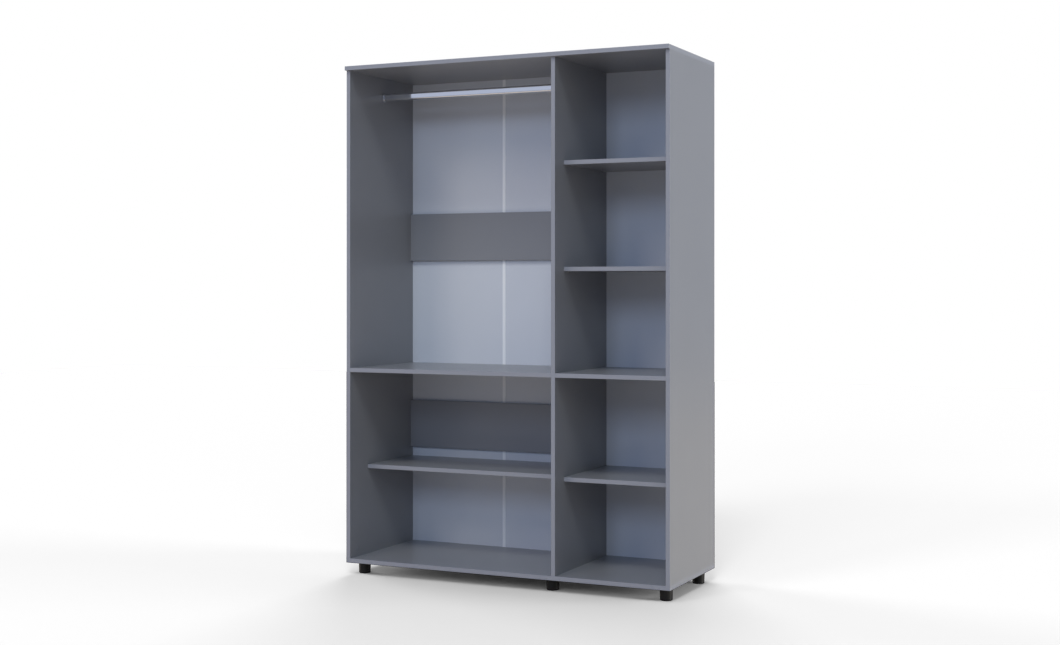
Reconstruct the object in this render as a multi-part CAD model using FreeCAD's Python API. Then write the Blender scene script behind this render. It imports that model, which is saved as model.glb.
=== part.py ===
"""Open-fronted wardrobe carcass on six levelling feet.

Grey laminated boards with plastic edge bands are held by cams and dowels.  A wide bay on the left has a
hanging rod, a fixed shelf, a loose shelf and two rails.  A narrow bay on the right has a fixed shelf and
three loose ones.  X is to the right, Y to the rear and Z up, with the origin on the floor under the middle
of the whole box.
"""
import FreeCAD, Part
import math
import os

Vector = FreeCAD.Vector
RIGHT = Vector(1, 0, 0)
REAR = Vector(0, 1, 0)
UP = Vector(0, 0, 1)

# ---- Driving dimensions, millimetres -------------------------------------------------------------------
# Boards
board = 16.0                # thickness of every laminated board
width = 1350.0              # over the two side panels
side_depth = 500.0          # front edge to rear edge of a side panel
carcass_height = 1952.0     # underside of the bottom panel to the upper face of the top panel
top_overhang = 14.0         # top panel in front of the side panels
left_bay = 868.0            # clear width of the wide bay
lower_bay = 734.0           # bottom panel to the underside of the fixed shelves
edging = 1.0                # thickness of an edge band
edging_radius = 0.6         # rounding of an edge band's long corners

# Loose shelves: height of the underside above the board below, and setback from the panels' front edges
left_low_shelf = 342.0
left_shelf_setback = 132.0
right_low_shelf = 342.0
right_middle_shelf = 378.0
right_high_shelf = 382.0
right_shelf_setback = 77.0
shelf_side_gap = 1.0        # loose shelf to the panel beside it
shelf_rear_gap = 1.0        # loose shelf to the back sheet
shelf_seat_gap = 0.2        # loose shelf to the top of its pins

# Rails at the back of the wide bay: height of the underside above the board below
rail_height = 195.0
lower_rail = 397.0
upper_rail = 429.0

# Back
back_sheet = 3.0            # hardboard thickness
sheet_inset = 1.5           # sheet edge inside the carcass outline
sheet_seam = 1.0            # gap between two sheets behind the divider
back_joint = 446.0          # joint strip's centre from the carcass's left face
strip_width = 13.0
strip_flange = 1.0
strip_web = 1.2
nail_radius = 0.7
nail_length = 22.0
nail_head_radius = 1.7
nail_head = 0.7
nail_spacing = 200.0
nail_end_margin = 60.0

# Hanging rod
rod_tall = 30.0
rod_thick = 15.0
rod_wall = 1.2
rod_drop = 80.0             # top panel's underside to the rod's centre
socket_wall = 2.0
socket_base = 3.0
socket_depth = 8.0          # how far the socket reaches along the rod
rod_fit = 0.25              # gap round the rod in its socket
rod_end_gap = 0.5           # rod end to the socket's base

# Cams, bolts and dowels
cam_radius = 7.4
cam_depth = 12.5
cam_backset = 34.0          # joint face to the cam's centre
cam_margin = 60.0           # cam to the panel's front or rear edge
cam_cover_radius = 8.5
cam_cover = 0.8
bolt_radius = 2.5
bolt_head_radius = 3.2
bolt_head = 4.0
bolt_bite = 11.0            # bolt thread in the mating board
dowel_radius = 3.95
dowel_bite = 9.5            # dowel in the mating board
dowel_length = 30.0
dowel_offset = 32.0         # dowel to the cam beside it
rail_dowel_offset = 60.0
bore_gap = 0.1              # round hardware in its bore
bore_end_gap = 0.5          # hardware's end to the bottom of its bore

# Shelf pins
pin_diameter = 5.0          # also the thickness of the pin's tongue
pin_wall = 1.0              # board left between two pins' bores that meet end to end in the divider
pin_reach = 8.0             # pin tongue out of the panel
pin_tongue_width = 9.0
pin_margin = 55.0           # pin to the shelf's front or rear edge

# Screws
screw_radius = 1.75
screw_head_radius = 3.5
screw_head = 2.0
screw_bite = 11.0           # screw shank in the board

# Levelling feet
foot_height = 48.0          # floor to the bottom panel with the pad screwed right in
foot_top_radius = 23.0
foot_low_radius = 22.0
foot_wall = 2.5
foot_base = 4.0             # plate against the bottom panel
foot_inset = 40.0           # foot centre to the carcass's left or right face
foot_setback = 72.0         # foot centre to the side panels' front or rear edges
foot_beside_divider = 25.0  # middle foot's centre to the divider's left face
pad_height = 8.0
pad_rounding = 3.0
pad_floor = 3.0             # pad's thickness under the spindle's foot
pad_lip = 1.2               # lip that holds the spindle's foot in the pad
foot_split = 0.3            # pad to housing, screwed right in
boss_radius = 9.0
spindle_radius = 5.0
spindle_foot_radius = 7.0
spindle_fit = 0.08          # round the spindle in its boss and pad
spindle_end_gap = 3.0       # spindle's top to the foot's base plate
driver_socket = 5.0         # across the flats of the spindle's hexagon socket
driver_socket_depth = 5.0
foot_screws = 3
foot_screw_circle = 15.0
access_radius = 4.5         # adjusting hole through the bottom panel
access_cover_radius = 7.0
access_cover = 0.8
access_plug = 5.0

# ---- Places that follow from them ----------------------------------------------------------------------
pin_bite = (board - pin_wall) / 2 - bore_end_gap    # pin shank in the panel
left = -width / 2
right = width / 2
total_depth = top_overhang + side_depth + back_sheet + max(strip_flange, nail_head)
front = top_overhang - total_depth / 2
rear = front + side_depth
base = foot_height
floor_top = base + board
top_under = base + carcass_height - board
divider_left = left + board + left_bay
divider_right = divider_left + board
fixed_under = floor_top + lower_bay
fixed_top = fixed_under + board
fixed_rear = rear - strip_flange
rod_height = top_under - rod_drop
rod_y = (front + rear) / 2
LEFT_BAY = (left + board, divider_left)
RIGHT_BAY = (divider_right, right - board)


# ---- Plain shapes --------------------------------------------------------------------------------------
def block(x0, x1, y0, y1, z0, z1):
    return Part.makeBox(x1 - x0, y1 - y0, z1 - z0, Vector(x0, y0, z0))


def peg(start, direction, length, radius):
    return Part.makeCylinder(radius, length, start, direction)


def bore(start, direction, length, radius):
    """A hole for a peg, with clearance round it and past its end."""
    return peg(start, direction, length + bore_end_gap, radius + bore_gap)


def hexagon_prism(centre, flats, height):
    radius = flats / math.sqrt(3)
    corners = []
    for step in range(7):
        angle = math.radians(60 * step)
        corners.append(centre + Vector(radius * math.cos(angle), radius * math.sin(angle), 0))
    return Part.Face(Part.makePolygon(corners)).extrude(UP * height)


def spread(start, end, spacing, margin):
    """Even places from start to end, no further apart than the spacing."""
    first = start + margin
    last = end - margin
    steps = max(1, math.ceil((last - first) / spacing))
    return [first + (last - first) * step / steps for step in range(steps + 1)]


def stadium(x, tall, thick):
    """A flat-sided oval face across the rod, its rounded ends up and down."""
    straight = tall / 2 - thick / 2
    half = thick / 2
    low_rear = Vector(x, rod_y + half, rod_height - straight)
    high_rear = Vector(x, rod_y + half, rod_height + straight)
    high_front = Vector(x, rod_y - half, rod_height + straight)
    low_front = Vector(x, rod_y - half, rod_height - straight)
    crown = Vector(x, rod_y, rod_height + tall / 2)
    keel = Vector(x, rod_y, rod_height - tall / 2)
    edges = [
        Part.LineSegment(low_rear, high_rear).toShape(),
        Part.Arc(high_rear, crown, high_front).toShape(),
        Part.LineSegment(high_front, low_front).toShape(),
        Part.Arc(low_front, keel, low_rear).toShape(),
    ]
    return Part.Face(Part.Wire(edges))


# ---- The pieces and the holes that go into them --------------------------------------------------------
pieces = {}
holes = {}


def add(name, *solids):
    pieces.setdefault(name, []).extend(solids)


def drill(name, *cutters):
    holes.setdefault(name, []).extend(cutters)


def edge_band(x0, x1, y, z0, z1):
    """A front band on a board's edge, with its two long corners rounded."""
    band = block(x0, x1, y, y + edging, z0, z1)
    upright = (z1 - z0) > (x1 - x0)
    corners = []
    for edge in band.Edges:
        box = edge.BoundBox
        on_front = box.YMax < y + edging / 2
        along = box.ZLength if upright else box.XLength
        if on_front and along > board * 2:
            corners.append(edge)
    return band.makeFillet(edging_radius, corners)


# ---- Boards of the carcass -----------------------------------------------------------------------------
def upright_panel(name, x0):
    add(name, block(x0, x0 + board, front + edging, rear, floor_top, top_under))
    add(name + "_edging", edge_band(x0, x0 + board, front, floor_top, top_under))


def lying_panel(name, y_front, z0):
    """The top or bottom panel, banded in front and at both ends."""
    z1 = z0 + board
    add(name, block(left + edging, right - edging, y_front + edging, rear, z0, z1))
    add(
        name + "_edging",
        edge_band(left, right, y_front, z0, z1),
        block(left, left + edging, y_front + edging, rear, z0, z1),
        block(right - edging, right, y_front + edging, rear, z0, z1),
    )


def fixed_shelf(name, bay):
    add(name, block(bay[0], bay[1], front + edging, fixed_rear, fixed_under, fixed_top))
    add(name + "_edging", edge_band(bay[0], bay[1], front, fixed_under, fixed_top))


def rail(name, z0):
    add(name, block(LEFT_BAY[0], LEFT_BAY[1], fixed_rear - board, fixed_rear, z0, z0 + rail_height))


def carcass_boards():
    upright_panel("left_side", left)
    upright_panel("right_side", right - board)
    upright_panel("centre_divider", divider_left)
    lying_panel("top_panel", front - top_overhang, top_under)
    lying_panel("bottom_panel", front, base)
    fixed_shelf("fixed_shelf_left", LEFT_BAY)
    fixed_shelf("fixed_shelf_right", RIGHT_BAY)
    rail("back_rail_upper", fixed_top + upper_rail)
    rail("back_rail_lower", floor_top + lower_rail)


# ---- Cams, bolts and dowels ----------------------------------------------------------------------------
def cam(held, seat, into, face, covered=True):
    """A cam pressed into the held board's face, which points along face; seat is on the joint plane."""
    centre = seat + into * cam_backset
    mouth = centre + face * (board / 2)
    body = peg(mouth, face * -1, cam_depth, cam_radius)
    slot = peg(seat, into, cam_backset + bolt_head, bolt_head_radius + bore_gap)
    add("cam_housings", body.cut(slot))
    drill(held, bore(mouth, face * -1, cam_depth, cam_radius), slot)
    if covered:
        add("cam_covers", peg(mouth, face, cam_cover, cam_cover_radius))


def bolt_arm(seat, into):
    """The part of a bolt on one side of the joint plane: its neck and the head that the cam grips."""
    neck = peg(seat, into, cam_backset - bolt_head / 2, bolt_radius)
    head = peg(seat + into * (cam_backset - bolt_head / 2), into, bolt_head, bolt_head_radius)
    return neck.fuse(head)


def cam_joint(held, mating, seat, into, face, covered=True):
    cam(held, seat, into, face, covered)
    thread = peg(seat - into * bolt_bite, into, bolt_bite, bolt_radius)
    add("cam_bolts", thread.fuse(bolt_arm(seat, into)).removeSplitter())
    drill(mating, bore(seat, into * -1, bolt_bite, bolt_radius))


def dowel_joint(held, mating, seat, into):
    start = seat - into * dowel_bite
    add("dowels", peg(start, into, dowel_length, dowel_radius))
    drill(held, bore(seat, into, dowel_length - dowel_bite, dowel_radius))
    drill(mating, bore(seat, into * -1, dowel_bite, dowel_radius))


def upright_joints(name, face):
    """Two cams and two dowels at the head and at the foot of a side panel or the divider."""
    x = pieces[name][0].BoundBox.Center.x
    for mating, z, into in (("top_panel", top_under, UP * -1), ("bottom_panel", floor_top, UP)):
        for y, step in ((front + cam_margin, dowel_offset), (rear - cam_margin, -dowel_offset)):
            cam_joint(name, mating, Vector(x, y, z), into, face)
            dowel_joint(name, mating, Vector(x, y + step, z), into)


def shelf_cam_places():
    return (front + cam_margin, rear - cam_margin)


def fixed_shelf_joints():
    """Cams under the shelves: bolts into the sides, and through the divider one for each pair of cams."""
    z = (fixed_under + fixed_top) / 2
    down = UP * -1
    for y in shelf_cam_places():
        cam_joint("fixed_shelf_left", "left_side", Vector(LEFT_BAY[0], y, z), RIGHT, down)
        cam_joint("fixed_shelf_right", "right_side", Vector(RIGHT_BAY[1], y, z), RIGHT * -1, down)
        left_seat = Vector(divider_left, y, z)
        right_seat = Vector(divider_right, y, z)
        cam("fixed_shelf_left", left_seat, RIGHT * -1, down)
        cam("fixed_shelf_right", right_seat, RIGHT, down)
        middle = peg(left_seat, RIGHT, board, bolt_radius)
        through = middle.fuse([bolt_arm(left_seat, RIGHT * -1), bolt_arm(right_seat, RIGHT)])
        add("through_bolts", through.removeSplitter())
        drill("centre_divider", peg(left_seat, RIGHT, board, bolt_radius + bore_gap))
    for y, step in zip(shelf_cam_places(), (dowel_offset, -dowel_offset)):
        dowel_joint("fixed_shelf_left", "left_side", Vector(LEFT_BAY[0], y + step, z), RIGHT)
        dowel_joint("fixed_shelf_left", "centre_divider", Vector(divider_left, y + step, z), RIGHT * -1)
        dowel_joint("fixed_shelf_right", "centre_divider", Vector(divider_right, y + 2 * step, z), RIGHT)
        dowel_joint("fixed_shelf_right", "right_side", Vector(RIGHT_BAY[1], y + 2 * step, z), RIGHT * -1)


def rail_joints(name):
    """One cam in the rear face and two dowels at each end of a rail."""
    box = pieces[name][0].BoundBox
    y = box.Center.y
    z = box.Center.z
    ends = (("left_side", LEFT_BAY[0], RIGHT), ("centre_divider", LEFT_BAY[1], RIGHT * -1))
    for mating, x, into in ends:
        cam_joint(name, mating, Vector(x, y, z), into, REAR, covered=False)
        for step in (rail_dowel_offset, -rail_dowel_offset):
            dowel_joint(name, mating, Vector(x, y, z + step), into)


def board_joints():
    upright_joints("left_side", RIGHT)
    upright_joints("right_side", RIGHT * -1)
    upright_joints("centre_divider", RIGHT * -1)
    fixed_shelf_joints()
    rail_joints("back_rail_upper")
    rail_joints("back_rail_lower")


# ---- Loose shelves on their pins -----------------------------------------------------------------------
def shelf_pin(panel, wall, y, shelf_under):
    """A pin in the wall at x, its flat tongue under the shelf; wall is (x, direction into the bay)."""
    x, into_bay = wall
    top = shelf_under - shelf_seat_gap
    radius = pin_diameter / 2
    centre = Vector(x, y, top - radius)
    shank = peg(centre - into_bay * pin_bite, into_bay, pin_bite + pin_reach / 2, radius)
    reach = x + into_bay.x * pin_reach
    x0, x1 = sorted((x, reach))
    half = pin_tongue_width / 2
    tongue = block(x0, x1, y - half, y + half, top - pin_diameter, top)
    add("shelf_pins", tongue.fuse(shank).removeSplitter())
    drill(panel, bore(centre, into_bay * -1, pin_bite, radius))


def loose_shelf(name, bay, panels, under, setback):
    x0 = bay[0] + shelf_side_gap
    x1 = bay[1] - shelf_side_gap
    y0 = front + setback
    y1 = rear - strip_flange - shelf_rear_gap
    add(name, block(x0, x1, y0 + edging, y1, under, under + board))
    add(name + "_edging", edge_band(x0, x1, y0, under, under + board))
    for panel, wall in zip(panels, ((bay[0], RIGHT), (bay[1], RIGHT * -1))):
        for y in (y0 + pin_margin, y1 - pin_margin):
            shelf_pin(panel, wall, y, under)


def loose_shelves():
    low_left = floor_top + left_low_shelf
    low_right = floor_top + right_low_shelf
    middle_right = fixed_top + right_middle_shelf
    high_right = middle_right + board + right_high_shelf
    left_panels = ("left_side", "centre_divider")
    right_panels = ("centre_divider", "right_side")
    loose_shelf("loose_shelf_left", LEFT_BAY, left_panels, low_left, left_shelf_setback)
    loose_shelf("loose_shelf_right_low", RIGHT_BAY, right_panels, low_right, right_shelf_setback)
    loose_shelf("loose_shelf_right_middle", RIGHT_BAY, right_panels, middle_right, right_shelf_setback)
    loose_shelf("loose_shelf_right_high", RIGHT_BAY, right_panels, high_right, right_shelf_setback)


# ---- Back sheets, joint strip and nails ----------------------------------------------------------------
def back():
    z0 = base + sheet_inset
    z1 = base + carcass_height - sheet_inset
    y1 = rear + back_sheet
    strip_x = left + back_joint
    seam_x = (divider_left + divider_right) / 2
    edges = {
        "back_sheet_left": (left + sheet_inset, strip_x - strip_web / 2),
        "back_sheet_middle": (strip_x + strip_web / 2, seam_x - sheet_seam / 2),
        "back_sheet_right": (seam_x + sheet_seam / 2, right - sheet_inset),
    }
    for name, (x0, x1) in edges.items():
        add(name, block(x0, x1, rear, y1, z0, z1))
    flanges = []
    for y in (rear - strip_flange, y1):
        flanges.append(block(
            strip_x - strip_width / 2, strip_x + strip_width / 2, y, y + strip_flange, floor_top, top_under
        ))
    web = block(strip_x - strip_web / 2, strip_x + strip_web / 2, rear, y1, floor_top, top_under)
    add("back_joint_strip", web.fuse(flanges).removeSplitter())
    return edges


def nail(sheet, panel, x, z):
    surface = Vector(x, rear + back_sheet, z)
    shank = peg(surface, REAR * -1, nail_length, nail_radius)
    head = peg(surface, REAR, nail_head, nail_head_radius)
    add("back_nails", shank.fuse(head))
    drill(sheet, peg(surface, REAR * -1, back_sheet, nail_radius + bore_gap))
    drill(panel, bore(surface, REAR * -1, nail_length, nail_radius))


def nails(edges):
    """Nails through each sheet into the boards behind its edges and into the fixed shelves."""
    half = board / 2
    seam = board / 4
    rows = {"top_panel": top_under + half, "bottom_panel": base + half}
    for sheet, (x0, x1) in edges.items():
        shelf = "fixed_shelf_right" if sheet == "back_sheet_right" else "fixed_shelf_left"
        for panel, z in list(rows.items()) + [(shelf, (fixed_under + fixed_top) / 2)]:
            for x in spread(x0, x1, nail_spacing, nail_end_margin):
                nail(sheet, panel, x, z)
    columns = (
        ("back_sheet_left", "left_side", left + half),
        ("back_sheet_middle", "centre_divider", divider_left + seam),
        ("back_sheet_right", "centre_divider", divider_right - seam),
        ("back_sheet_right", "right_side", right - half),
    )
    for sheet, panel, x in columns:
        for z in spread(floor_top, top_under, nail_spacing, nail_end_margin + dowel_offset):
            nail(sheet, panel, x, z)


# ---- Hanging rod ---------------------------------------------------------------------------------------
def rod_socket(name, panel, x, into_bay):
    """An open cup screwed to the panel; the rod's end stands in it."""
    tall = rod_tall + 2 * (rod_fit + socket_wall)
    thick = rod_thick + 2 * (rod_fit + socket_wall)
    cup = stadium(x, tall, thick).extrude(into_bay * (socket_base + socket_depth))
    inner_x = x + into_bay.x * socket_base
    mouth = stadium(inner_x, rod_tall + 2 * rod_fit, rod_thick + 2 * rod_fit)
    cup = cup.cut(mouth.extrude(into_bay * socket_depth))
    for step in (-rod_tall / 4, rod_tall / 4):
        face = Vector(inner_x, rod_y, rod_height + step)
        place_screw("rod_socket_screws", face, into_bay * -1, socket_base)
        cup = cup.cut(screw_hole(face, into_bay * -1, socket_base))
        drill(panel, bore(face + into_bay * -socket_base, into_bay * -1, screw_bite, screw_radius))
    add(name, cup)


def hanging_rod():
    x0 = LEFT_BAY[0] + socket_base + rod_end_gap
    x1 = LEFT_BAY[1] - socket_base - rod_end_gap
    outer = stadium(x0, rod_tall, rod_thick).extrude(RIGHT * (x1 - x0))
    inner = stadium(x0, rod_tall - 2 * rod_wall, rod_thick - 2 * rod_wall).extrude(RIGHT * (x1 - x0))
    add("hanging_rod", outer.cut(inner))
    rod_socket("rod_socket_left", "left_side", LEFT_BAY[0], RIGHT)
    rod_socket("rod_socket_right", "centre_divider", LEFT_BAY[1], RIGHT * -1)


# ---- Screws --------------------------------------------------------------------------------------------
def screw_hole(face, direction, through):
    """A countersunk hole through a plate of the given thickness, from face along direction."""
    sink = Part.makeCone(screw_head_radius + bore_gap, screw_radius + bore_gap, screw_head, face, direction)
    return sink.fuse(peg(face, direction, through, screw_radius + bore_gap))


def place_screw(name, face, direction, through):
    head = Part.makeCone(screw_head_radius, screw_radius, screw_head, face, direction)
    shank = peg(face, direction, through + screw_bite, screw_radius)
    add(name, head.fuse(shank).removeSplitter())


# ---- Levelling feet ------------------------------------------------------------------------------------
def foot_places():
    middle = divider_left - foot_beside_divider
    xs = {"left": left + foot_inset, "middle": middle, "right": right - foot_inset}
    ys = {"front": front + foot_setback, "rear": rear - foot_setback}
    return {f"{row}_{side}": (x, y) for row, y in ys.items() for side, x in xs.items()}


def foot_housing(x, y):
    low = pad_height + foot_split
    height = foot_height - low
    outer = Part.makeCone(foot_low_radius, foot_top_radius, height, Vector(x, y, low))
    inner = Part.makeCone(
        foot_low_radius - foot_wall, foot_top_radius - foot_wall, height - foot_base, Vector(x, y, low)
    )
    boss = peg(Vector(x, y, low), UP, height - foot_base, boss_radius)
    shell = outer.cut(inner).fuse(boss)
    shell = shell.cut(peg(Vector(x, y, low), UP, height - foot_base, spindle_radius + spindle_fit))
    shell = shell.cut(peg(Vector(x, y, low), UP, height, access_radius))
    plate = base - foot_base
    for step in range(foot_screws):
        angle = 2 * math.pi * step / foot_screws
        out = Vector(math.cos(angle), math.sin(angle), 0) * foot_screw_circle
        face = Vector(x, y, plate) + out
        place_screw("foot_fixing_screws", face, UP, foot_base)
        shell = shell.cut(screw_hole(face, UP, foot_base))
        drill("bottom_panel", bore(face + UP * foot_base, UP, screw_bite, screw_radius))
    return shell


def foot_pad(x, y):
    disc = peg(Vector(x, y, 0), UP, pad_height, foot_low_radius)
    rims = [edge for edge in disc.Edges if edge.BoundBox.ZMax < pad_rounding]
    disc = disc.makeFillet(pad_rounding, rims)
    seat = Vector(x, y, pad_floor)
    depth = pad_height - pad_floor
    pocket = peg(seat, UP, depth - pad_lip, spindle_foot_radius + spindle_fit)
    neck = peg(seat, UP, depth, spindle_radius + spindle_fit)
    return disc.cut(pocket.fuse(neck))


def foot_spindle(x, y):
    start = pad_floor + spindle_fit
    foot_length = pad_height - pad_lip - pad_floor - 2 * spindle_fit
    top = base - foot_base - spindle_end_gap
    foot = peg(Vector(x, y, start), UP, foot_length, spindle_foot_radius)
    shaft = peg(Vector(x, y, start), UP, top - start, spindle_radius)
    socket = hexagon_prism(Vector(x, y, top - driver_socket_depth), driver_socket, driver_socket_depth)
    return foot.fuse(shaft).removeSplitter().cut(socket)


def access_cover_at(x, y):
    cap = peg(Vector(x, y, floor_top), UP, access_cover, access_cover_radius)
    plug = peg(Vector(x, y, floor_top - access_plug), UP, access_plug, access_radius - bore_gap)
    return cap.fuse(plug).removeSplitter()


def levelling_feet():
    for place, (x, y) in foot_places().items():
        add(f"foot_housing_{place}", foot_housing(x, y))
        add(f"foot_pad_{place}", foot_pad(x, y))
        add(f"foot_spindle_{place}", foot_spindle(x, y))
        add("foot_access_covers", access_cover_at(x, y))
        drill("bottom_panel", peg(Vector(x, y, base), UP, board, access_radius))


# ---- Build ---------------------------------------------------------------------------------------------
def save():
    os.makedirs("parts", exist_ok=True)
    for name, solids in pieces.items():
        if name in holes:
            solids = [solid.cut(holes[name]) for solid in solids]
        whole = solids[0] if len(solids) == 1 else Part.makeCompound(solids)
        whole.exportStep(f"parts/{name}.step")


carcass_boards()
board_joints()
loose_shelves()
nails(back())
hanging_rod()
levelling_feet()
save()
print(len(pieces), "nodes")
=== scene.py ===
import math
import bpy
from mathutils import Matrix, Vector

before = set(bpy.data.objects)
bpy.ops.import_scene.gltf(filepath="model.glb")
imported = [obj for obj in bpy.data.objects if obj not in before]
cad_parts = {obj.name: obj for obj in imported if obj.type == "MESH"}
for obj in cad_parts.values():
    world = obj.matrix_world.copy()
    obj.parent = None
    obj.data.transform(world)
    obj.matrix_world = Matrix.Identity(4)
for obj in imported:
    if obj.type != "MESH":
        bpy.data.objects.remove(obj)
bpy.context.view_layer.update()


# ---- Sides and divider -----------------------------------------------------------------------------------
# Three upright boards stand between the bottom and top panels: 16 mm particle board, pressed on both faces
# with a plain mid-grey paper that has a fine pearl texture. The edges that carry no band show the bare
# chips.
def new_material(name, colour, roughness, metallic=0.0):
    """A material of one colour, with its shader, ready for detail."""
    material = bpy.data.materials.new(name)
    material.use_nodes = True
    shader = material.node_tree.nodes["Principled BSDF"]
    shader.inputs["Base Color"].default_value = (*colour, 1)
    shader.inputs["Roughness"].default_value = roughness
    shader.inputs["Metallic"].default_value = metallic
    return material, shader


def noise(material, per_metre, detail=3.0):
    """Cloudy variation; per_metre is the lumps in a metre, one number or one for each of X, Y and Z."""
    if not isinstance(per_metre, tuple):
        per_metre = (per_metre,) * 3
    nodes, links = material.node_tree.nodes, material.node_tree.links
    place = nodes.new("ShaderNodeTexCoord")
    mapping = nodes.new("ShaderNodeMapping")
    mapping.inputs["Scale"].default_value = per_metre
    texture = nodes.new("ShaderNodeTexNoise")
    texture.inputs["Scale"].default_value = 1.0
    texture.inputs["Detail"].default_value = detail
    links.new(place.outputs["Object"], mapping.inputs["Vector"])
    links.new(mapping.outputs["Vector"], texture.inputs["Vector"])
    return texture.outputs["Fac"]


def between(material, amount, low, high):
    """A colour or a number that runs from low to high as the amount does over its middle part."""
    starts_at = 0.3
    ends_at = 0.7
    nodes, links = material.node_tree.nodes, material.node_tree.links
    if isinstance(low, tuple):
        ramp = nodes.new("ShaderNodeValToRGB")
        ramp.color_ramp.elements[0].position = starts_at
        ramp.color_ramp.elements[1].position = ends_at
        ramp.color_ramp.elements[0].color = (*low, 1)
        ramp.color_ramp.elements[1].color = (*high, 1)
        links.new(amount, ramp.inputs["Fac"])
        return ramp.outputs["Color"]
    scale = nodes.new("ShaderNodeMapRange")
    scale.inputs["From Min"].default_value = starts_at
    scale.inputs["From Max"].default_value = ends_at
    scale.inputs["To Min"].default_value = low
    scale.inputs["To Max"].default_value = high
    links.new(amount, scale.inputs["Value"])
    return scale.outputs["Result"]


def shades(colour, spread):
    """The colour a little darker and a little lighter."""
    return tuple(c * (1 - spread) for c in colour), tuple(c * (1 + spread) for c in colour)


def relief(material, height, depth):
    """Raises the surface by the height, which runs from 0 to 1, times the depth in metres."""
    nodes, links = material.node_tree.nodes, material.node_tree.links
    bump = nodes.new("ShaderNodeBump")
    bump.inputs["Strength"].default_value = 0.5
    bump.inputs["Distance"].default_value = depth
    links.new(height, bump.inputs["Height"])
    links.new(bump.outputs["Normal"], nodes["Principled BSDF"].inputs["Normal"])


def facing(material, axis, sign=0):
    """1 where the surface faces along the axis (only the signed way, if a sign is given), otherwise 0."""
    nodes, links = material.node_tree.nodes, material.node_tree.links
    place = nodes.new("ShaderNodeTexCoord")
    split = nodes.new("ShaderNodeSeparateXYZ")
    turned = nodes.new("ShaderNodeMath")
    turned.operation = "MULTIPLY" if sign else "ABSOLUTE"
    turned.inputs[1].default_value = sign
    test = nodes.new("ShaderNodeMath")
    test.operation = "GREATER_THAN"
    test.inputs[1].default_value = 0.5
    links.new(place.outputs["Normal"], split.inputs["Vector"])
    links.new(split.outputs[axis], turned.inputs[0])
    links.new(turned.outputs[0], test.inputs[0])
    return test.outputs[0]


def choose(material, face, elsewhere, on_face, kind):
    """Joins two results: on_face where face is 1, the other where it is 0. The kind is RGBA or FLOAT."""
    # The mix node has sockets of its own for each kind.
    nodes, links = material.node_tree.nodes, material.node_tree.links
    mix = nodes.new("ShaderNodeMix")
    mix.data_type = kind
    first, second, result = {"RGBA": (6, 7, 2), "FLOAT": (2, 3, 0)}[kind]
    links.new(face, mix.inputs[0])
    links.new(elsewhere, mix.inputs[first])
    links.new(on_face, mix.inputs[second])
    return mix.outputs[result]


def feed(material, socket, output):
    """Lets a result drive a socket of the material's shader."""
    material.node_tree.links.new(output, material.node_tree.nodes["Principled BSDF"].inputs[socket])


def laminated_board(name, paper, face_axis, band_axis=None):
    """Paper on the faces across the axis, and on the edges across the band axis; bare chips elsewhere."""
    chip_dark = (0.30, 0.20, 0.11)
    chip_light = (0.58, 0.44, 0.28)
    chip_depth = 0.0003
    pearl_share = 0.12
    material, _ = new_material(name, paper, roughness=0.3)
    face = facing(material, face_axis)
    if band_axis:
        covered = material.node_tree.nodes.new("ShaderNodeMath")
        covered.operation = "MAXIMUM"
        material.node_tree.links.new(face, covered.inputs[0])
        material.node_tree.links.new(facing(material, band_axis), covered.inputs[1])
        face = covered.outputs[0]
    pearl = noise(material, per_metre=900)
    broad = noise(material, per_metre=5)
    chips = noise(material, per_metre=260, detail=5)
    printed = between(material, broad, *shades(paper, spread=0.012))
    raw = between(material, chips, chip_dark, chip_light)
    feed(material, "Base Color", choose(material, face, raw, printed, "RGBA"))
    satin = between(material, pearl, 0.27, 0.33)
    rough = between(material, chips, 0.8, 0.95)
    feed(material, "Roughness", choose(material, face, rough, satin, "FLOAT"))
    pearl_height = between(material, pearl, 0.0, pearl_share)
    relief(material, choose(material, face, chips, pearl_height, "FLOAT"), chip_depth)
    return material


def dress(material, *names):
    """Gives the named CAD nodes this material alone."""
    for name in names:
        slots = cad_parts[name].data.materials
        slots.clear()
        slots.append(material)


board_grey = (0.26, 0.27, 0.295)
uprights = ("left_side", "right_side", "centre_divider")
dress(laminated_board("upright_laminate", board_grey, "X"), *uprights)


# ---- Lying boards ----------------------------------------------------------------------------------------
# The bottom and top panels, the two fixed shelves and the four loose shelves: the same board laid flat. The
# fixed ones are pulled tight on cams; a loose shelf drops on four pins and slides out to the front.
lying_boards = ["bottom_panel", "top_panel", "fixed_shelf_left", "fixed_shelf_right", "loose_shelf_left"]
lying_boards += ["loose_shelf_right_" + height for height in ("low", "middle", "high")]
dress(laminated_board("lying_laminate", board_grey, "Z"), *lying_boards)


# ---- Back rails ------------------------------------------------------------------------------------------
# Two strips of the same board on edge at the back of the wide bay. They keep the carcass square, and their
# long edges are covered in the laminate's colour, so no chips show at the front. Their grey is the boards'
# grey made about 8% darker as painted shade, for the deeper shade at the back of the bay.
rail_grey_painted_shade = (0.24, 0.25, 0.275)
dress(laminated_board("rail_laminate_painted_shade", rail_grey_painted_shade, "Y", band_axis="Z"), "back_rail_upper", "back_rail_lower")


# ---- Edge bands ------------------------------------------------------------------------------------------
# One millimetre plastic tape, glued on by machine, scraped flush and slightly rounded. The scraper leaves
# hairline marks along the tape, which is a touch paler and duller than the laminate.
def band_plastic(name, marks_per_metre):
    tape = (0.29, 0.305, 0.35)
    mark_depth = 0.00001
    material, _ = new_material(name, tape, roughness=0.4)
    marks = noise(material, per_metre=marks_per_metre)
    feed(material, "Base Color", between(material, marks, *shades(tape, spread=0.008)))
    feed(material, "Roughness", between(material, marks, 0.37, 0.43))
    relief(material, marks, mark_depth)
    return material


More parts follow.
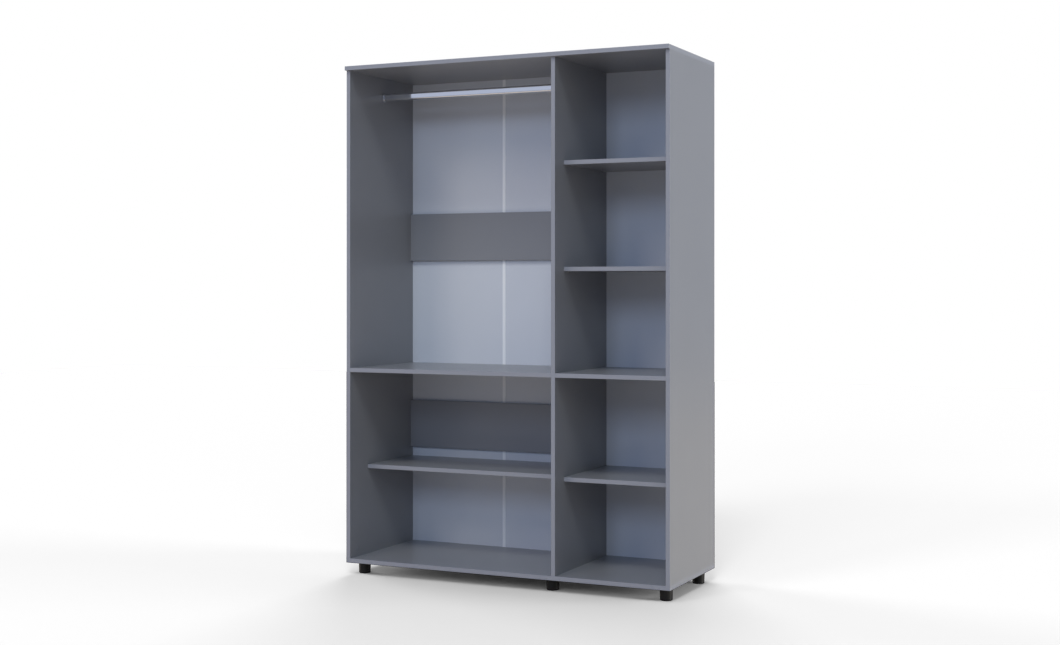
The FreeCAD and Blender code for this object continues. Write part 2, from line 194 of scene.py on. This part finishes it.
marks_across = 1500
marks_along = 6
upright_bands = [name + "_edging" for name in uprights]
lying_bands = [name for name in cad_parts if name.endswith("_edging") and name not in upright_bands]
dress(band_plastic("upright_edge_band", (marks_across, marks_across, marks_along)), *upright_bands)
dress(band_plastic("lying_edge_band", (marks_along, marks_across, marks_across)), *lying_bands)


# ---- Cams, bolts and screws ------------------------------------------------------------------------------
# Die-cast cams grip the heads of steel bolts, and screws hold the rod cups and the feet. All are plated
# with bright zinc, which is cloudy and a little yellow in places.
zinc = (0.58, 0.585, 0.59)
zinc_yellow = (0.66, 0.63, 0.56)
zinc_grain_depth = 0.00002
zinc_plate, _ = new_material("zinc_plate", zinc, roughness=0.35, metallic=1.0)
cloud = noise(zinc_plate, per_metre=180)
feed(zinc_plate, "Base Color", between(zinc_plate, cloud, zinc, zinc_yellow))
feed(zinc_plate, "Roughness", between(zinc_plate, cloud, 0.28, 0.45))
relief(zinc_plate, noise(zinc_plate, per_metre=2500), zinc_grain_depth)
dress(zinc_plate, "cam_housings", "cam_bolts", "through_bolts", "rod_socket_screws", "foot_fixing_screws")


# ---- Dowels ----------------------------------------------------------------------------------------------
# Turned beech pegs, glued into the board ends beside the cams. The grain runs along each peg, with the
# short dark flecks that beech has.
beech_pale = (0.62, 0.45, 0.29)
beech_fleck = (0.42, 0.27, 0.15)
fleck_depth = 0.00006
beech, _ = new_material("beech", beech_pale, roughness=0.6)
fleck = noise(beech, per_metre=(120, 1600, 1600), detail=4)
feed(beech, "Base Color", between(beech, fleck, beech_fleck, beech_pale))
feed(beech, "Roughness", between(beech, fleck, 0.55, 0.7))
relief(beech, fleck, fleck_depth)
dress(beech, "dowels")


# ---- Covers and shelf pins -------------------------------------------------------------------------------
# Moulded in the boards' grey: thin discs pressed over the cams and over the adjusting holes above the feet,
# and the pins that the loose shelves lie on. The mould leaves a fine even grain.
moulded_grey = (0.255, 0.265, 0.29)
mould_grain_depth = 0.00003
cover_plastic, _ = new_material("grey_moulded_plastic", moulded_grey, roughness=0.42)
mould_grain = noise(cover_plastic, per_metre=1800)
feed(cover_plastic, "Base Color", between(cover_plastic, mould_grain, *shades(moulded_grey, spread=0.02)))
feed(cover_plastic, "Roughness", between(cover_plastic, mould_grain, 0.38, 0.48))
relief(cover_plastic, mould_grain, mould_grain_depth)
dress(cover_plastic, "cam_covers", "foot_access_covers", "shelf_pins")


# ---- Back sheets -----------------------------------------------------------------------------------------
# Three sheets of 3 mm hardboard close the back. Inside they have a pale lacquer, rolled on, slightly glossy
# and with a fine orange peel. The other face and the edges are bare brown fibre.
lacquer = (0.64, 0.68, 0.75)
fibre_dark = (0.20, 0.12, 0.065)
fibre_light = (0.34, 0.22, 0.13)
fibre_depth = 0.0002
peel_share = 0.08
hardboard, _ = new_material("lacquered_hardboard", lacquer, roughness=0.3)
inside = facing(hardboard, "Y", -1)
fibres = noise(hardboard, per_metre=420, detail=6)
peel = noise(hardboard, per_metre=450)
cloudy = noise(hardboard, per_metre=4)
fibre_brown = between(hardboard, fibres, fibre_dark, fibre_light)
lacquer_tone = between(hardboard, cloudy, *shades(lacquer, spread=0.012))
feed(hardboard, "Base Color", choose(hardboard, inside, fibre_brown, lacquer_tone, "RGBA"))
fibre_rough = between(hardboard, fibres, 0.7, 0.85)
lacquer_gloss = between(hardboard, peel, 0.27, 0.33)
feed(hardboard, "Roughness", choose(hardboard, inside, fibre_rough, lacquer_gloss, "FLOAT"))
peel_height = between(hardboard, peel, 0.0, peel_share)
relief(hardboard, choose(hardboard, inside, fibres, peel_height, "FLOAT"), fibre_depth)
dress(hardboard, "back_sheet_left", "back_sheet_middle", "back_sheet_right")


# ---- Joint strip -----------------------------------------------------------------------------------------
# A white plastic H-section, extruded in one length, takes the edges of two back sheets. Faint lines from
# the die run up it.
strip_white = (0.88, 0.91, 0.95)
die_line_depth = 0.00002
strip_plastic, _ = new_material("white_strip_plastic", strip_white, roughness=0.35)
die_lines = noise(strip_plastic, per_metre=(1400, 1400, 5))
feed(strip_plastic, "Base Color", between(strip_plastic, die_lines, *shades(strip_white, spread=0.012)))
feed(strip_plastic, "Roughness", between(strip_plastic, die_lines, 0.3, 0.4))
relief(strip_plastic, die_lines, die_line_depth)
dress(strip_plastic, "back_joint_strip")


# ---- Nails -----------------------------------------------------------------------------------------------
# Short flat-headed steel nails driven through the sheets into the boards' rear edges. The wire is bright
# and the heads are dulled by the hammer.
nail_grey = (0.45, 0.45, 0.46)
hammer_depth = 0.00005
nail_steel, _ = new_material("nail_steel", nail_grey, roughness=0.45, metallic=1.0)
hammer = noise(nail_steel, per_metre=700)
feed(nail_steel, "Base Color", between(nail_steel, hammer, *shades(nail_grey, spread=0.15)))
feed(nail_steel, "Roughness", between(nail_steel, hammer, 0.35, 0.55))
relief(nail_steel, hammer, hammer_depth)
dress(nail_steel, "back_nails")


# ---- Hanging rod -----------------------------------------------------------------------------------------
# A flat-sided oval steel tube, 30 by 15 mm, chrome plated. Polishing leaves long faint streaks along it. It
# stands in two die-cast cups of a slightly duller plate, screwed to the left side and the divider.
def chrome(name, smoothest, dullest):
    plate = (0.84, 0.85, 0.88)
    material, _ = new_material(name, plate, roughness=smoothest, metallic=1.0)
    streaks = noise(material, per_metre=(3, 500, 500))
    feed(material, "Base Color", between(material, streaks, *shades(plate, spread=0.01)))
    feed(material, "Roughness", between(material, streaks, smoothest, dullest))
    return material


dress(chrome("chromed_tube", 0.04, 0.08), "hanging_rod")
dress(chrome("chromed_die_casting", 0.14, 0.22), "rod_socket_left", "rod_socket_right")


# ---- Levelling feet --------------------------------------------------------------------------------------
# Black polypropylene housings are screwed under the bottom panel. Below each is a round pad that a steel
# spindle lowers; the spindle is reached through the bottom panel. The moulding has a fine spark-eroded
# grain.
foot_black = (0.0085, 0.0085, 0.009)
foot_specular = 0.35
spark_grain_depth = 0.00006
foot_plastic, foot_shader = new_material("black_moulded_plastic", foot_black, roughness=0.42)
foot_shader.inputs["Specular IOR Level"].default_value = foot_specular
spark_grain = noise(foot_plastic, per_metre=1500)
feed(foot_plastic, "Base Color", between(foot_plastic, spark_grain, *shades(foot_black, spread=0.12)))
feed(foot_plastic, "Roughness", between(foot_plastic, spark_grain, 0.36, 0.5))
relief(foot_plastic, spark_grain, spark_grain_depth)
dress(foot_plastic, *[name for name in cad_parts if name.startswith(("foot_housing", "foot_pad"))])

spindle_grey = (0.5, 0.5, 0.51)
turning_depth = 0.0001
spindle_steel, _ = new_material("spindle_steel", spindle_grey, roughness=0.4, metallic=1.0)
turning = noise(spindle_steel, per_metre=(60, 60, 1500))
feed(spindle_steel, "Base Color", between(spindle_steel, turning, *shades(spindle_grey, spread=0.08)))
feed(spindle_steel, "Roughness", between(spindle_steel, turning, 0.3, 0.5))
relief(spindle_steel, turning, turning_depth)
dress(spindle_steel, *[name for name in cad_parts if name.startswith("foot_spindle")])


# ---- Floor -----------------------------------------------------------------------------------------------
# A plain cream studio floor, wide enough to run out of every view. It only takes shadows, so it looks as
# white as the backdrop, and its own tone shows in the light that it throws up under the boards.
floor_half = 12.0
floor_mesh = bpy.data.meshes.new("studio_floor")
floor_corners = [(x * floor_half, y * floor_half, 0) for x, y in ((-1, -1), (1, -1), (1, 1), (-1, 1))]
floor_mesh.from_pydata(floor_corners, [], [(0, 1, 2, 3)])
studio_floor = bpy.data.objects.new("studio_floor", floor_mesh)
bpy.context.scene.collection.objects.link(studio_floor)
floor_cream = (0.63, 0.55, 0.46)
floor_paint, _ = new_material("studio_floor_cream", floor_cream, roughness=0.8)
floor_clouds = noise(floor_paint, per_metre=2)
feed(floor_paint, "Base Color", between(floor_paint, floor_clouds, *shades(floor_cream, spread=0.003)))
studio_floor.data.materials.append(floor_paint)
studio_floor.is_shadow_catcher = True


# ---- Light -----------------------------------------------------------------------------------------------
# Soft square lamps round the wardrobe, all aimed at its middle: two high keys in front, lower fills between
# and beside them, and one for each outer side and the back. The rod mirrors the small panel on the left.
# The backdrop is plain white, but the room itself gives only a dim bluish light.
middle = Vector((0, 0, 1))


def softbox(name, azimuth, elevation, distance, size, watts, colour):
    """A square lamp; azimuth is counted from the front towards the right, and both angles are in degrees."""
    lamp = bpy.data.lights.new(name, "AREA")
    lamp.shape = "SQUARE"
    lamp.size = size
    lamp.energy = watts
    lamp.color = colour
    holder = bpy.data.objects.new(name, lamp)
    bpy.context.scene.collection.objects.link(holder)
    turn, rise = math.radians(azimuth), math.radians(elevation)
    out = Vector((math.sin(turn) * math.cos(rise), -math.cos(turn) * math.cos(rise), math.sin(rise)))
    holder.location = middle + out * distance
    holder.rotation_euler = (-out).to_track_quat("-Z", "Y").to_euler()


lamp_distance = 14.0
lamp_size = 3.2
wide_lamp_size = 6.0
panel_distance = 12.0
panel_size = 3.0
softbox("key_right_lamp", 20, 50, lamp_distance, lamp_size, 540, (0.98, 1.0, 0.96))
softbox("key_left_lamp", -20, 35, lamp_distance, lamp_size, 270, (1.0, 0.86, 0.72))
softbox("front_lamp", 0, 20, lamp_distance, lamp_size, 270, (0.60, 0.73, 1.0))
softbox("front_left_panel", -27, 12, panel_distance, panel_size, 8, (0.92, 0.95, 1.0))
softbox("front_right_lamp", 40, 20, lamp_distance, lamp_size, 80, (1.0, 0.95, 0.6))
softbox("right_lamp", 105, 5, lamp_distance, wide_lamp_size, 1300, (1.0, 0.98, 0.9))
softbox("left_lamp", -105, 5, lamp_distance, wide_lamp_size, 1300, (1.0, 0.98, 0.9))
softbox("back_lamp", -160, 42, lamp_distance, wide_lamp_size, 500, (1.0, 0.98, 0.93))

room_light = (0.21, 0.25, 0.36, 1)
world = bpy.data.worlds.new("studio")
world.use_nodes = True
world_nodes, world_links = world.node_tree.nodes, world.node_tree.links
room = world_nodes["Background"]
room.inputs["Color"].default_value = room_light
backdrop = world_nodes.new("ShaderNodeBackground")
backdrop.inputs["Color"].default_value = (1, 1, 1, 1)
ray = world_nodes.new("ShaderNodeLightPath")
world_mix = world_nodes.new("ShaderNodeMixShader")
world_links.new(ray.outputs["Is Camera Ray"], world_mix.inputs["Fac"])
world_links.new(room.outputs["Background"], world_mix.inputs[1])
world_links.new(backdrop.outputs["Background"], world_mix.inputs[2])
world_links.new(world_mix.outputs["Shader"], world_nodes["World Output"].inputs["Surface"])
bpy.context.scene.world = world
bpy.context.scene.view_settings.view_transform = "Standard"


# ---- Camera ----------------------------------------------------------------------------------------------
# Standing to the right of the wardrobe at chest height. It looks level, so the uprights stay upright, and
# the frame is shifted down a little instead.
camera_place = (2.5705, -5.4477, 1.1379)
camera_turn = 25.19
camera = bpy.data.cameras.new("camera")
camera.sensor_width = 36.0
camera.lens = 52.49
camera.shift_y = -0.0348
camera_holder = bpy.data.objects.new("camera", camera)
camera_holder.location = camera_place
camera_holder.rotation_euler = (math.radians(90), 0, math.radians(camera_turn))
bpy.context.scene.collection.objects.link(camera_holder)
bpy.context.scene.camera = camera_holder
